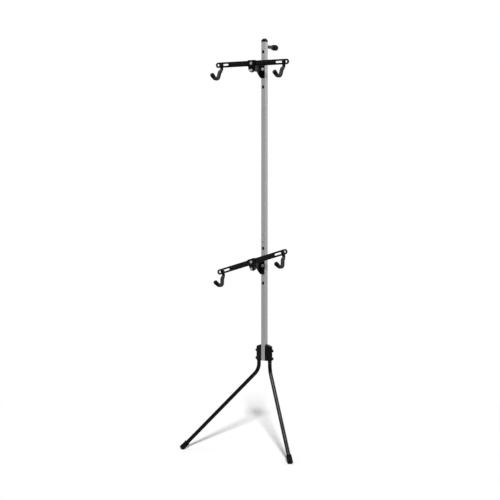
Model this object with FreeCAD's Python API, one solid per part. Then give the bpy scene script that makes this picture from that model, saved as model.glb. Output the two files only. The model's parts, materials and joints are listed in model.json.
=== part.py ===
import FreeCAD, Part
import math
import os

from FreeCAD import Vector

# Floor-to-wall bike rack.
# +X is the right-hand side seen from the room, +Y points to the wall, +Z is up and the floor is at zero.
# Everything is drawn about the post's axis, and the whole rack is then centred over its footprint.

# Driving sizes, in millimetres and degrees

# Fasteners shared by the whole rack
bolt_size = 8.0
hex_flats = 13.0
bolt_head_height = 5.3
nut_height = 6.5
bolt_tail = 4.0
bolt_room = 0.3
thread_room = 0.05
pivot_fit = 0.06
washer_diameter = 16.0
washer_room = 0.4
washer_thickness = 1.6
hex_chamfer_angle = 30.0
hex_face_share = 0.95
crown_share = 0.7

# Post, a square tube in two lengths on one inner sleeve
post_side = 25.4
post_wall = 1.5
post_corner = 2.6
inner_corner_least = 0.2
post_bottom = 458.0
lower_post_length = 632.0
upper_post_length = 996.5
sleeve_length = 90.0
sleeve_wall = 1.5
sleeve_room = 0.1
screw_spacing = 38.0
screw_size = 4.8
screw_length = 9.0
screw_head_diameter = 9.0
screw_head_height = 2.4
screw_cross_length = 5.0
screw_cross_width = 1.1
screw_cross_depth = 1.3

# Post cap, a square plug with a domed top
cap_height = 18.5
cap_dome_radius = 17.0
cap_plug_depth = 12.0
cap_plug_wall = 2.0
cap_plug_room = 0.1

# Holes that the arms are bolted to
arm_hole_width = 12.5
arm_hole_height = 18.0
arm_hole_pitch = 89.0
arm_bolt_drop = 24.0
upper_pivot_drop = 115.5
lower_pivot_drop = 120.0

# Wall bumper
bumper_drop = 23.0
stem_diameter = 18.0
stem_length = 50.0
stem_insert = 12.0
bumper_bolt_length = 40.0
head_diameter = 30.0
head_length = 48.0
head_collar_diameter = 20.5
head_flare_length = 20.0
head_edge_radius = 12.0

# Legs, feet and the sockets that hold them to the post
leg_diameter = 20.0
leg_wall = 1.5
leg_gap = 11.3
leg_bend_drop = 48.0
leg_bend_radius = 75.0
foot_spread = 342.0
foot_reach = 264.0
foot_diameter = 28.0
foot_length = 46.0
foot_sole = 12.0
foot_edge_radius = 7.0
foot_flat_depth = 3.0
foot_rib_depth = 1.0
foot_rib_width = 2.4
foot_rib_pitch = 6.0
foot_rib_count = 3
socket_height = 85.0
socket_fall = 13.0
socket_wall = 2.8
socket_depth = 31.0
socket_ridge_width = 12.0
socket_ridge_fall = 8.0
socket_roof = 10.0
leg_fit = 0.1
leg_bolt_low = 11.5
leg_bolt_spacing = 40.5
leg_bolt_tail = 1.2

# Arm bracket, folded from one sheet: a base on the post, a web on its left and a front flange
bracket_reach = 96.3
bracket_sheet = 3.0
bracket_fold = 2.0
base_margin = 1.0
bracket_rise = 15.0
bracket_drop = 68.0
bracket_nose_margin = 3.0
bracket_nose_length = 55.0
bracket_tail_length = 4.5
bracket_belly = 2.0
flange_overhang = 4.5
flange_rise = 13.0
flange_margin = 8.5
flange_corner = 9.0

# Crossbar and its tilt plate
crossbar_height = 27.5
crossbar_thickness = 4.0
crossbar_edge = 0.8
end_hole_offset = 209.5
end_hole_diameter = 12.0
end_hole_margin = 16.0
bead_gap = 9.0
bead_height = 9.0
bead_depth = 1.8
bead_crest_share = 0.8
tilt_plate_sheet = 3.0
tilt_plate_width = 44.0
lock_drop = 35.0
lobe_margin = 10.5
lock_slot_room = 0.5
tilt_limit = 20.0
lower_rest_tilt = 16.0

# Hooks
hook_end_gap = 14.5
hook_travel = 45.0
upper_hook_inset = 3.0
lower_hook_inset = 0.0
hook_slot_room = 0.6
slot_end_play = 0.5
hook_rod_diameter = 11.0
hook_coat = 4.5
hook_coat_fit = 0.05
hook_tab_width = 17.0
hook_tab_thickness = 4.0
hook_tab_below = 8.0
hook_bar_gap = 0.6
neck_drop = 6.0
jog_forward = 17.0
jog_drop = 11.0
shank_forward = 14.0
shank_drop = 34.0
cradle_floor = 30.0
tip_forward = 23.0
tip_rise = 19.5
neck_bend = 9.0
shank_bend = 12.0
cradle_bend = 15.0
bare_neck = 6.0
tip_cap_length = 16.0
tip_cap_wall = 1.0
tip_cap_end = 2.5
tip_crown_share = 0.5
button_diameter = 14.0
button_height = 4.4
button_socket_flats = 5.0
button_socket_depth = 2.4

# Planes and places worked out from those sizes

bolt_radius = bolt_size / 2
hole_radius = bolt_radius + bolt_room
post_half = post_side / 2
post_front = -post_half
post_inside = post_half - post_wall
splice_height = post_bottom + lower_post_length
post_top = splice_height + upper_post_length
bumper_height = post_top - bumper_drop
upper_pivot_height = post_top - upper_pivot_drop
lower_pivot_height = splice_height - lower_pivot_drop
mount_plane = post_front - bracket_reach
flange_back = mount_plane + bracket_sheet
base_front = post_front - bracket_sheet
bar_front = mount_plane - crossbar_thickness
tilt_plate_front = bar_front - tilt_plate_sheet
lobe_front = mount_plane - tilt_plate_sheet
bar_half = crossbar_height / 2
web_inside = -washer_diameter / 2 - washer_room - bracket_fold
web_outside = web_inside - bracket_sheet
base_right = washer_diameter / 2 + base_margin
bracket_nose_drop = lock_drop + bracket_nose_margin
flange_right = base_right + flange_overhang
flange_drop = lock_drop + flange_margin
leg_radius = leg_diameter / 2
leg_offset = post_half + leg_gap + leg_radius
leg_bend_height = post_bottom - leg_bend_drop
socket_radius = leg_radius + leg_fit + socket_wall
socket_edge = leg_offset + socket_radius
leg_top = post_bottom + socket_height - socket_fall - socket_roof
leg_bolt_heights = (post_bottom + leg_bolt_low, post_bottom + leg_bolt_low + leg_bolt_spacing)
slot_width = bolt_size + 2 * hook_slot_room
hook_stop = end_hole_offset - hook_end_gap
slot_outer = hook_stop + slot_end_play - hook_slot_room
slot_inner = hook_stop - hook_travel - slot_end_play + hook_slot_room
bead_start = tilt_plate_width / 2 + bead_gap
bead_end = slot_inner - slot_width / 2 - bead_gap
hook_tab_back = mount_plane + hook_tab_thickness
hook_rod_plane = mount_plane + hook_tab_thickness / 2
coat_radius = hook_rod_diameter / 2 + hook_coat

along_x = Vector(1, 0, 0)
to_wall = Vector(0, 1, 0)
to_room = Vector(0, -1, 0)
upwards = Vector(0, 0, 1)
origin = Vector(0, 0, 0)
touching = 0.01
mostly = 0.5


# Plain shapes

def unit(vector):
    return Vector(vector).normalize()


def block(x_range, y_range, z_range):
    corner = Vector(x_range[0], y_range[0], z_range[0])
    length, depth, height = [last - first for first, last in (x_range, y_range, z_range)]
    return Part.makeBox(length, depth, height, corner)


def round_bar(radius, start, end):
    reach = end - start
    return Part.makeCylinder(radius, reach.Length, start, reach)


def slab(edges, depth):
    """The closed outline made of the given edges, as thick as the depth vector."""
    return Part.Face(Part.Wire([edge.toShape() for edge in edges])).extrude(depth)


def polygon_slab(points, depth):
    return Part.Face(Part.makePolygon(points + points[:1])).extrude(depth)


def runs_along(edge, axis):
    return abs(edge.tangentAt(edge.FirstParameter).dot(axis)) > mostly


def rim_at(solid, centre):
    """The round edges of a solid that are centred on the given point."""
    return [edge for edge in solid.Edges if edge.Closed and (edge.CenterOfMass - centre).Length < touching]


def obround(first, last, width, depth):
    """A slot-shaped slab: round ends centred on first and last, as thick as the depth vector."""
    along = unit(last - first)
    side = unit(depth).cross(along) * (width / 2)
    tip = along * (width / 2)
    edges = [
        Part.LineSegment(first + side, last + side),
        Part.Arc(last + side, last + tip, last - side),
        Part.LineSegment(last - side, first - side),
        Part.Arc(first - side, first - tip, first + side),
    ]
    return slab(edges, depth)


def turned(outline, axis):
    """Spin an outline of (radius, height) points about the given axis, from the origin."""
    points = [Vector(radius, 0, height) for radius, height in outline]
    solid = Part.Face(Part.makePolygon(points + points[:1])).revolve(origin, upwards, 360)
    solid.Placement = FreeCAD.Placement(origin, FreeCAD.Rotation(upwards, axis))
    return solid


def rounded_square(side, corner, bottom, top):
    half = side / 2
    solid = block((-half, half), (-half, half), (bottom, top))
    return solid.makeFillet(corner, [edge for edge in solid.Edges if runs_along(edge, upwards)])


def square_tube(side, wall, corner, bottom, top):
    inner_corner = max(corner - wall, inner_corner_least)
    return rounded_square(side, corner, bottom, top).cut(
        rounded_square(side - 2 * wall, inner_corner, bottom, top))


def bent_path(points, bend_radii):
    """Straight runs between the points, with a tangent arc at each inner point."""
    edges = []
    here = points[0]
    for before, corner, after, radius in zip(points, points[1:], points[2:], bend_radii):
        arriving = unit(corner - before)
        leaving = unit(after - corner)
        half_turn = arriving.getAngle(leaving) / 2
        setback = radius * math.tan(half_turn)
        inward = unit(leaving - arriving)
        middle = corner + inward * (radius / math.cos(half_turn) - radius)
        bend_start = corner - arriving * setback
        bend_end = corner + leaving * setback
        edges.append(Part.LineSegment(here, bend_start).toShape())
        edges.append(Part.Arc(bend_start, middle, bend_end).toShape())
        here = bend_end
    edges.append(Part.LineSegment(here, points[-1]).toShape())
    return Part.Wire(edges)


def swept_rod(path, radius):
    start = path.Edges[0]
    heading = start.tangentAt(start.FirstParameter)
    ring = Part.Wire([Part.makeCircle(radius, start.valueAt(start.FirstParameter), heading)])
    return path.makePipeShell([ring], True, True)


def mirrored(solid):
    return solid.mirror(origin, along_x)


# Fasteners

def hex_prism(flats, height, seat, axis):
    corner_radius = flats / math.sqrt(3)
    angles = [math.radians(30 + 60 * step) for step in range(6)]
    points = [Vector(corner_radius * math.cos(a), corner_radius * math.sin(a), 0) for a in angles]
    solid = polygon_slab(points, upwards * height)
    slope = 1 / math.tan(math.radians(hex_chamfer_angle))
    face_radius = flats / 2 * hex_face_share
    solid = solid.common(Part.makeCone(face_radius + height * slope, face_radius, height))
    solid.Placement = FreeCAD.Placement(seat, FreeCAD.Rotation(upwards, axis))
    return solid


def hex_bolt(seat, axis, length):
    """A bolt whose head sits on the seat, with its shank running along the axis."""
    head = hex_prism(hex_flats, bolt_head_height, seat, axis * -1)
    return head.fuse(round_bar(bolt_radius, seat, seat + axis * length)).removeSplitter()


def hex_nut(seat, axis):
    bore = round_bar(bolt_radius + thread_room, seat, seat + axis * nut_height)
    return hex_prism(hex_flats, nut_height, seat, axis).cut(bore)


def flat_washer(seat, axis):
    top = seat + axis * washer_thickness
    return round_bar(washer_diameter / 2, seat, top).cut(round_bar(hole_radius, seat, top))


# Post

def arm_hole_heights(pivot_height):
    middle = pivot_height - arm_bolt_drop
    return [middle + step * arm_hole_pitch for step in (-1, 0, 1)]


def arm_hole(height):
    """A slot in the post's front wall and a plain bolt hole in its back wall."""
    half_run = upwards * ((arm_hole_height - arm_hole_width) / 2)
    front = Vector(0, post_front, height)
    slot = obround(front - half_run, front + half_run, arm_hole_width, to_wall * post_half)
    return slot.fuse(through_hole(hole_radius, height, 0, post_half))


def post_cutters():
    """Every hole in the post: for the arms, the legs, the splice screws and the wall bumper."""
    cutters = leg_bolt_bores()
    for pivot_height in (upper_pivot_height, lower_pivot_height):
        cutters += [arm_hole(height) for height in arm_hole_heights(pivot_height)]
    for seat in splice_screw_seats():
        cutters.append(round_bar(screw_size / 2 + thread_room, seat, seat + to_wall * post_half))
    back = Vector(0, 0, bumper_height)
    cutters.append(round_bar(bolt_radius + thread_room, back, back + to_wall * post_half))
    return cutters


def post_length(bottom, top):
    return square_tube(post_side, post_wall, post_corner, bottom, top).cut(post_cutters())


def splice_screw_seats():
    return [Vector(0, post_front, splice_height + side * screw_spacing / 2) for side in (-1, 1)]


def splice_sleeve():
    side = post_side - 2 * (post_wall + sleeve_room)
    half = sleeve_length / 2
    tube = square_tube(side, sleeve_wall, post_corner, splice_height - half, splice_height + half)
    return tube.cut(post_cutters())


def cross_recess(top):
    """The two crossed slots for a screwdriver, cut into a screw head from its top."""
    long_half = screw_cross_length / 2
    short_half = screw_cross_width / 2
    depths = (top.y, top.y + screw_cross_depth)
    level = block((-long_half, long_half), depths, (top.z - short_half, top.z + short_half))
    upright = block((-short_half, short_half), depths, (top.z - long_half, top.z + long_half))
    return level.fuse(upright)


def splice_screws():
    screws = []
    for seat in splice_screw_seats():
        top = seat + to_room * screw_head_height
        head = round_bar(screw_head_diameter / 2, seat, top)
        head = head.makeFillet(screw_head_height * crown_share, rim_at(head, top))
        head = head.cut(cross_recess(top))
        shank = round_bar(screw_size / 2, seat, seat + to_wall * screw_length)
        screws.append(head.fuse(shank).removeSplitter())
    return Part.makeCompound(screws)


def post_cap():
    top = post_top + cap_height
    block_cap = rounded_square(post_side, post_corner, post_top, top)
    dome = Part.makeSphere(cap_dome_radius, Vector(0, 0, top - cap_dome_radius))
    plug_side = post_side - 2 * (post_wall + cap_plug_room)
    plug = square_tube(plug_side, cap_plug_wall, post_corner, post_top - cap_plug_depth, post_top)
    return block_cap.common(dome).fuse(plug).removeSplitter()


# Wall bumper

def bumper_stem():
    root = Vector(0, post_half, bumper_height)
    stem = round_bar(stem_diameter / 2, root, root + to_wall * (stem_length + stem_insert))
    thread = round_bar(bolt_radius + thread_room, root, root + to_wall * bumper_bolt_length)
    return stem.cut(thread)


def bumper_head():
    head_radius = head_diameter / 2
    outline = [
        (0, stem_insert),
        (stem_diameter / 2 + thread_room, stem_insert),
        (stem_diameter / 2 + thread_room, 0),
        (head_collar_diameter / 2, 0),
        (head_radius, head_flare_length),
        (head_radius, head_length),
        (0, head_length),
    ]
    head = turned(outline, to_wall)
    head = head.makeFillet(head_edge_radius, rim_at(head, to_wall * head_length))
    head.translate(Vector(0, post_half + stem_length, bumper_height))
    return head


def bumper_bolt():
    seat = Vector(0, post_inside, bumper_height)
    return hex_bolt(seat, to_wall, bumper_bolt_length)


# Legs

def leg_corner():
    return Vector(leg_offset, 0, leg_bend_height)


def leg_heading():
    return unit(Vector(foot_spread, -foot_reach, 0) - leg_corner())


def foot_end():
    """Where the leg's axis leaves the foot, so that the rounded sole is pressed flat by foot_flat_depth."""
    fall = -leg_heading().z
    level = math.sqrt(1 - fall * fall)
    ring_radius = foot_diameter / 2 - foot_edge_radius
    sole_reach = ring_radius * level + foot_edge_radius - foot_edge_radius * fall
    height = sole_reach - foot_flat_depth
    corner = leg_corner()
    return corner + leg_heading() * ((corner.z - height) / fall)


def right_leg():
    end = foot_end() - leg_heading() * foot_sole
    path = bent_path([Vector(leg_offset, 0, leg_top), leg_corner(), end], [leg_bend_radius])
    tube = swept_rod(path, leg_radius).cut(swept_rod(path, leg_radius - leg_wall))
    return tube.cut(leg_bolt_bores())


def leg_bolt_bores():
    far_side = socket_edge + post_side
    return [round_bar(hole_radius, Vector(-far_side, 0, height), Vector(far_side, 0, height))
            for height in leg_bolt_heights]


def right_foot():
    radius = foot_diameter / 2
    bore = leg_radius + leg_fit
    outline = [
        (0, 0),
        (radius, 0),
        (radius, foot_length),
        (bore, foot_length),
        (bore, foot_sole),
        (0, foot_sole),
    ]
    foot = turned(outline, upwards)
    foot = foot.makeFillet(foot_edge_radius, rim_at(foot, origin))
    for step in range(foot_rib_count):
        groove_top = foot_length - foot_rib_pitch * (step + 1)
        ring = Part.makeCylinder(foot_diameter, foot_rib_width, Vector(0, 0, groove_top - foot_rib_width))
        ring = ring.cut(Part.makeCylinder(radius - foot_rib_depth, foot_length))
        foot = foot.cut(ring)
    foot.Placement = FreeCAD.Placement(foot_end(), FreeCAD.Rotation(upwards, leg_heading() * -1))
    reach = foot_spread + foot_reach
    floor = block((-reach, reach), (-reach, reach), (-foot_length, 0))
    return foot.cut(floor)


def right_socket():
    half = socket_depth / 2
    top = post_bottom + socket_height
    front_root = Vector(post_half, -half, post_bottom)
    back_root = Vector(post_half, half, post_bottom)
    front_round = Vector(leg_offset, -socket_radius, post_bottom)
    back_round = Vector(leg_offset, socket_radius, post_bottom)
    body = slab([
        Part.LineSegment(front_root, front_round),
        Part.Arc(front_round, Vector(socket_edge, 0, post_bottom), back_round),
        Part.LineSegment(back_round, back_root),
        Part.LineSegment(back_root, front_root),
    ], upwards * socket_height)
    side_roof = polygon_slab([
        front_root,
        Vector(socket_edge, -half, post_bottom),
        Vector(socket_edge, -half, top - socket_fall),
        Vector(post_half, -half, top),
    ], to_wall * socket_depth)
    ridge = socket_ridge_width / 2
    front_roof = polygon_slab([
        front_root,
        back_root,
        Vector(post_half, half, top - socket_ridge_fall),
        Vector(post_half, ridge, top),
        Vector(post_half, -ridge, top),
        Vector(post_half, -half, top - socket_ridge_fall),
    ], along_x * (socket_edge - post_half))
    body = body.common(side_roof).common(front_roof)
    mouth = Vector(leg_offset, 0, post_bottom)
    bore = round_bar(leg_radius + leg_fit, mouth, Vector(leg_offset, 0, leg_top))
    return body.cut([bore] + leg_bolt_bores())


def leg_bolts():
    length = 2 * socket_edge + nut_height + leg_bolt_tail
    return Part.makeCompound([hex_bolt(Vector(-socket_edge, 0, height), along_x, length)
                              for height in leg_bolt_heights])


def leg_nuts():
    return Part.makeCompound([hex_nut(Vector(socket_edge, 0, height), along_x)
                              for height in leg_bolt_heights])


# Arm pieces, drawn with the pivot at height zero

def bracket_plan():
    """The folded sheet seen from above, as tall as the whole bracket."""
    outer = bracket_fold + bracket_sheet
    left, inside = web_outside, web_inside
    outer_bulge = outer * (1 - math.sqrt(0.5))
    inner_bulge = bracket_fold * (1 - math.sqrt(0.5))

    def at(x, y):
        return Vector(x, y, -bracket_drop)

    def straight(first, last):
        return Part.LineSegment(at(*first), at(*last))

    def fold(first, middle, last):
        return Part.Arc(at(*first), at(*middle), at(*last))

    return slab([
        straight((base_right, post_front), (left + outer, post_front)),
        fold((left + outer, post_front), (left + outer_bulge, post_front - outer_bulge),
             (left, post_front - outer)),
        straight((left, post_front - outer), (left, mount_plane + outer)),
        fold((left, mount_plane + outer), (left + outer_bulge, mount_plane + outer_bulge),
             (left + outer, mount_plane)),
        straight((left + outer, mount_plane), (flange_right, mount_plane)),
        straight((flange_right, mount_plane), (flange_right, flange_back)),
        straight((flange_right, flange_back), (inside + bracket_fold, flange_back)),
        fold((inside + bracket_fold, flange_back), (inside + inner_bulge, flange_back + inner_bulge),
             (inside, flange_back + bracket_fold)),
        straight((inside, flange_back + bracket_fold), (inside, base_front - bracket_fold)),
        fold((inside, base_front - bracket_fold), (inside + inner_bulge, base_front - inner_bulge),
             (inside + bracket_fold, base_front)),
        straight((inside + bracket_fold, base_front), (base_right, base_front)),
        straight((base_right, base_front), (base_right, post_front)),
    ], upwards * (bracket_rise + bracket_drop))


def bracket_profile():
    """The bracket seen from its side: a beam out to the front flange, with a gusset under it."""
    left = web_outside
    chin = Vector(left, mount_plane, -flange_drop)
    jaw = Vector(left, flange_back + bracket_fold, -flange_drop)
    nose = Vector(left, flange_back + bracket_fold, -bracket_nose_drop)
    knee = Vector(left, flange_back + bracket_nose_length, -bracket_nose_drop)
    tail = Vector(left, post_front - bracket_tail_length, -bracket_drop)
    belly = (knee + tail) * 0.5 + unit(along_x.cross(tail - knee)) * -bracket_belly
    heel = Vector(left, post_front, -bracket_drop)
    crown = Vector(left, post_front, bracket_rise)
    brow = Vector(left, mount_plane, flange_rise)
    return slab([
        Part.LineSegment(brow, chin),
        Part.LineSegment(chin, jaw),
        Part.LineSegment(jaw, nose),
        Part.LineSegment(nose, knee),
        Part.Arc(knee, belly, tail),
        Part.LineSegment(tail, heel),
        Part.LineSegment(heel, crown),
        Part.LineSegment(crown, brow),
    ], along_x * (flange_right - left))


def flange_outline():
    """The front flange's rounded lower right corner, as a slab through the whole bracket."""
    plate = block((web_outside, flange_right), (mount_plane, post_front), (-bracket_drop, bracket_rise))
    corner = block((flange_right - flange_corner, flange_right), (mount_plane, flange_back),
                   (-bracket_drop, -flange_drop + flange_corner))
    centre = Vector(flange_right - flange_corner, mount_plane, -flange_drop + flange_corner)
    return plate.cut(corner.cut(round_bar(flange_corner, centre, centre + to_wall * bracket_sheet)))


def arm_bracket():
    bracket = bracket_plan().common(bracket_profile()).common(flange_outline())
    cutters = [through_hole(hole_radius, -arm_bolt_drop, base_front, post_front)]
    for height in (0, -lock_drop):
        cutters.append(through_hole(hole_radius, height, mount_plane, flange_back))
    return bracket.cut(cutters)


def through_hole(radius, height, front, back):
    return round_bar(radius, Vector(0, front, height), Vector(0, back, height))


def bracket_bolt():
    seat = Vector(0, base_front - washer_thickness, -arm_bolt_drop)
    length = bracket_sheet + post_side + 2 * washer_thickness + nut_height + bolt_tail
    return hex_bolt(seat, to_wall, length)


def bracket_washers():
    return [
        flat_washer(Vector(0, base_front, -arm_bolt_drop), to_room),
        flat_washer(Vector(0, post_half, -arm_bolt_drop), to_wall),
    ]


def bracket_nut():
    return hex_nut(Vector(0, post_half + washer_thickness, -arm_bolt_drop), to_wall)


def pivot_bolt():
    seat = Vector(0, tilt_plate_front, 0)
    return hex_bolt(seat, to_wall, flange_back + nut_height + bolt_tail - tilt_plate_front)


def lock_washer():
    return flat_washer(Vector(0, lobe_front, -lock_drop), to_room)


def lock_bolt():
    seat = Vector(0, lobe_front - washer_thickness, -lock_drop)
    return hex_bolt(seat, to_wall, flange_back + nut_height + bolt_tail - seat.y)


def clamp_nut(height):
    return hex_nut(Vector(0, flange_back, height), to_wall)


def bead(side, front):
    """The slab of one stiffening bead, on the given side of the pivot."""
    inset = bead_height / 2
    first = Vector(side * (bead_start + inset), front, 0)
    last = Vector(side * (bead_end - inset), front, 0)
    return obround(first, last, bead_height, to_wall * bead_depth)


def crossbar():
    through_bar = to_wall * crossbar_thickness
    right_end = Vector(end_hole_offset + end_hole_margin - bar_half, bar_front, 0)
    left_end = Vector(-right_end.x, bar_front, 0)
    bar = obround(left_end, right_end, crossbar_height, through_bar)
    rims = [edge for edge in bar.Edges if not runs_along(edge, to_wall)]
    bar = bar.makeFillet(crossbar_edge, rims)
    cutters = [through_hole(bolt_radius + pivot_fit, 0, bar_front, mount_plane)]
    beads = []
    for side in (-1, 1):
        end_hole = through_hole(end_hole_diameter / 2, 0, bar_front, mount_plane)
        end_hole.translate(along_x * (side * end_hole_offset))
        outer = Vector(side * slot_outer, bar_front, 0)
        inner = Vector(side * slot_inner, bar_front, 0)
        cutters += [end_hole, obround(inner, outer, slot_width, through_bar)]
        cutters.append(bead(side, mount_plane - bead_depth))
        raised = bead(side, bar_front - bead_depth)
        crest = [edge for edge in raised.Edges
                 if edge.CenterOfMass.y < bar_front - bead_depth / 2 and not runs_along(edge, to_wall)]
        beads.append(raised.makeFillet(bead_depth * bead_crest_share, crest))
    return bar.fuse(beads).cut(cutters).removeSplitter()


def lock_slot():
    """The arc slot about the pivot that the lock bolt runs in."""
    width = bolt_size + 2 * lock_slot_room
    limit = math.radians(tilt_limit)

    def on_arc(radius, angle):
        return Vector(radius * math.sin(angle), lobe_front, -radius * math.cos(angle))

    outer = lock_drop + width / 2
    inner = lock_drop - width / 2
    tip_swing = math.atan(width / 2 / lock_drop)
    tip_radius = math.hypot(lock_drop, width / 2)
    return slab([
        Part.Arc(on_arc(outer, -limit), on_arc(outer, 0), on_arc(outer, limit)),
        Part.Arc(on_arc(outer, limit), on_arc(tip_radius, limit + tip_swing), on_arc(inner, limit)),
        Part.Arc(on_arc(inner, limit), on_arc(inner, 0), on_arc(inner, -limit)),
        Part.Arc(on_arc(inner, -limit), on_arc(tip_radius, -limit - tip_swing), on_arc(outer, -limit)),
    ], to_wall * tilt_plate_sheet)


def tilt_plate():
    """A plate that hugs the bar from above and below, with a lobe let back onto the bracket's flange."""
    half = tilt_plate_width / 2
    lobe_bottom = -lock_drop - lobe_margin
    lip = bar_half + tilt_plate_sheet
    section = [
        Vector(-half, tilt_plate_front, lip),
        Vector(-half, mount_plane, lip),
        Vector(-half, mount_plane, bar_half),
        Vector(-half, bar_front, bar_half),
        Vector(-half, bar_front, -bar_half),
        Vector(-half, mount_plane, -bar_half),
        Vector(-half, mount_plane, lobe_bottom),
        Vector(-half, lobe_front, lobe_bottom),
        Vector(-half, lobe_front, -lip),
        Vector(-half, tilt_plate_front, -lip),
    ]
    plate = polygon_slab(section, along_x * tilt_plate_width)
    left_top = Vector(-half, tilt_plate_front, lip)
    right_top = Vector(half, tilt_plate_front, lip)
    left_low = Vector(-half, tilt_plate_front, lobe_bottom + half)
    right_low = Vector(half, tilt_plate_front, lobe_bottom + half)
    outline = slab([
        Part.LineSegment(left_top, right_top),
        Part.LineSegment(right_top, right_low),
        Part.Arc(right_low, Vector(0, tilt_plate_front, lobe_bottom), left_low),
        Part.LineSegment(left_low, left_top),
    ], to_wall * (mount_plane - tilt_plate_front))
    pivot_hole = through_hole(bolt_radius + pivot_fit, 0, tilt_plate_front, bar_front)
    return plate.common(outline).cut([pivot_hole, lock_slot()])


# Hook pieces, drawn in the middle of the bar and then moved along it

def hook_points():
    neck_top = Vector(0, hook_rod_plane, -bar_half - hook_bar_gap - hook_rod_diameter / 2)
    neck = neck_top - upwards * neck_drop
    jog = neck + to_room * jog_forward - upwards * jog_drop
    shank = jog + to_room * shank_forward - upwards * shank_drop
    floor = shank + to_room * cradle_floor
    tip = floor + to_room * tip_forward + upwards * tip_rise
    return [neck_top, neck, jog, shank, floor, tip]


def coat_ends():
    """Where the coating starts below the bare neck, and where it meets the tip cap."""
    neck_top, neck, jog, shank, floor, tip = hook_points()
    start = neck + unit(jog - neck) * bare_neck
    end = tip - unit(tip - floor) * tip_cap_length
    return start, end


def hook():
    points = hook_points()
    path = bent_path(points, [neck_bend, shank_bend, cradle_bend, cradle_bend])
    rod = swept_rod(path, hook_rod_diameter / 2)
    rod = rod.fuse(Part.makeSphere(hook_rod_diameter / 2, points[0]))
    tab_foot = Vector(0, mount_plane, -bar_half - hook_tab_below)
    tab = obround(tab_foot, Vector(0, mount_plane, 0), hook_tab_width, to_wall * hook_tab_thickness)
    hole = through_hole(hole_radius, 0, mount_plane, hook_tab_back)
    return rod.fuse(tab).cut(hole).removeSplitter()


def hook_sleeve():
    start, end = coat_ends()
    jog, shank, floor = hook_points()[2:5]
    path = bent_path([start, jog, shank, floor, end], [shank_bend, cradle_bend, cradle_bend])
    bore = swept_rod(path, hook_rod_diameter / 2 + hook_coat_fit)
    return swept_rod(path, coat_radius).cut(bore)


def hook_tip():
    start = coat_ends()[1]
    tip = hook_points()[-1]
    heading = unit(tip - start)
    cap_radius = coat_radius + tip_cap_wall
    end = tip + heading * tip_cap_end
    cap = round_bar(cap_radius, start, end)
    cap = cap.makeFillet(cap_radius * tip_crown_share, rim_at(cap, end))
    return cap.cut(round_bar(hook_rod_diameter / 2 + hook_coat_fit, start, tip))


def hook_bolt():
    seat = Vector(0, bar_front, 0)
    top = seat + to_room * button_height
    head = round_bar(button_diameter / 2, seat, top)
    head = head.makeFillet(button_height * crown_share, rim_at(head, top))
    socket_mouth = top + to_room * button_socket_depth
    socket = hex_prism(button_socket_flats, 2 * button_socket_depth, socket_mouth, to_wall)
    shank_end = Vector(0, hook_tab_back + nut_height + bolt_tail, 0)
    return head.cut(socket).fuse(round_bar(bolt_radius, seat, shank_end)).removeSplitter()


def hook_nut():
    return hex_nut(Vector(0, hook_tab_back, 0), to_wall)


# Assembly

def on_arm(solid, pivot_height, tilt=0, shift=0):
    """Move an arm piece along the bar, tilt it about the pivot and lift it to the pivot's height."""
    piece = solid.copy()
    piece.translate(along_x * shift)
    piece.rotate(origin, to_room, tilt)
    piece.translate(upwards * pivot_height)
    return piece


def base_nodes():
    leg = right_leg()
    foot = right_foot()
    socket = right_socket()
    return {
        "lower_post": post_length(post_bottom, splice_height),
        "upper_post": post_length(splice_height, post_top),
        "splice_sleeve": splice_sleeve(),
        "splice_screws": splice_screws(),
        "post_cap": post_cap(),
        "bumper_stem": bumper_stem(),
        "bumper_head": bumper_head(),
        "bumper_bolt": bumper_bolt(),
        "left_leg": mirrored(leg),
        "right_leg": leg,
        "left_foot": mirrored(foot),
        "right_foot": foot,
        "left_leg_socket": mirrored(socket),
        "right_leg_socket": socket,
        "leg_bolts": leg_bolts(),
        "leg_nuts": leg_nuts(),
    }


def arm_nodes():
    arms = {
        "upper": (upper_pivot_height, 0.0, hook_stop - upper_hook_inset),
        "lower": (lower_pivot_height, lower_rest_tilt, hook_stop - lower_hook_inset),
    }
    bracket = arm_bracket()
    bar = crossbar()
    plate = tilt_plate()
    hook_pieces = {
        "hook": hook(),
        "hook_sleeve": hook_sleeve(),
        "hook_tip": hook_tip(),
        "hook_bolt": hook_bolt(),
        "hook_nut": hook_nut(),
    }
    fixed_sets = {
        "bracket_bolts": [bracket_bolt()],
        "bracket_washers": bracket_washers(),
        "bracket_nuts": [bracket_nut()],
        "pivot_bolts": [pivot_bolt()],
        "lock_bolts": [lock_bolt()],
        "lock_washers": [lock_washer()],
        "clamp_nuts": [clamp_nut(0), clamp_nut(-lock_drop)],
    }
    nodes = {}
    for set_name, solids in fixed_sets.items():
        nodes[set_name] = Part.makeCompound(
            [on_arm(solid, height) for height, _, _ in arms.values() for solid in solids])
    for arm, (height, tilt, hook_offset) in arms.items():
        nodes[arm + "_arm_bracket"] = on_arm(bracket, height)
        nodes[arm + "_crossbar"] = on_arm(bar, height, tilt)
        nodes[arm + "_tilt_plate"] = on_arm(plate, height, tilt)
        for hand, side in (("left", -1), ("right", 1)):
            for piece, solid in hook_pieces.items():
                nodes[f"{arm}_{hand}_{piece}"] = on_arm(solid, height, tilt, side * hook_offset)
    return nodes


def main():
    nodes = {**base_nodes(), **arm_nodes()}
    whole = Part.makeCompound(list(nodes.values())).optimalBoundingBox()
    to_middle = Vector(0, -(whole.YMin + whole.YMax) / 2, 0)
    os.makedirs("parts", exist_ok=True)
    for name, shape in nodes.items():
        placed = shape.copy()
        placed.translate(to_middle)
        placed.exportStep(f"parts/{name}.step")
    print("post axis stands at y =", round(to_middle.y, 4))
    print("overall", [round(size, 2) for size in (whole.XLength, whole.YLength, whole.ZLength)])


if __name__ == "__main__":
    main()
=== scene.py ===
import json
import math

import bmesh
import bpy
import numpy as np
from bpy.props import FloatProperty, FloatVectorProperty, IntProperty, PointerProperty
from mathutils import Matrix, Vector

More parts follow.
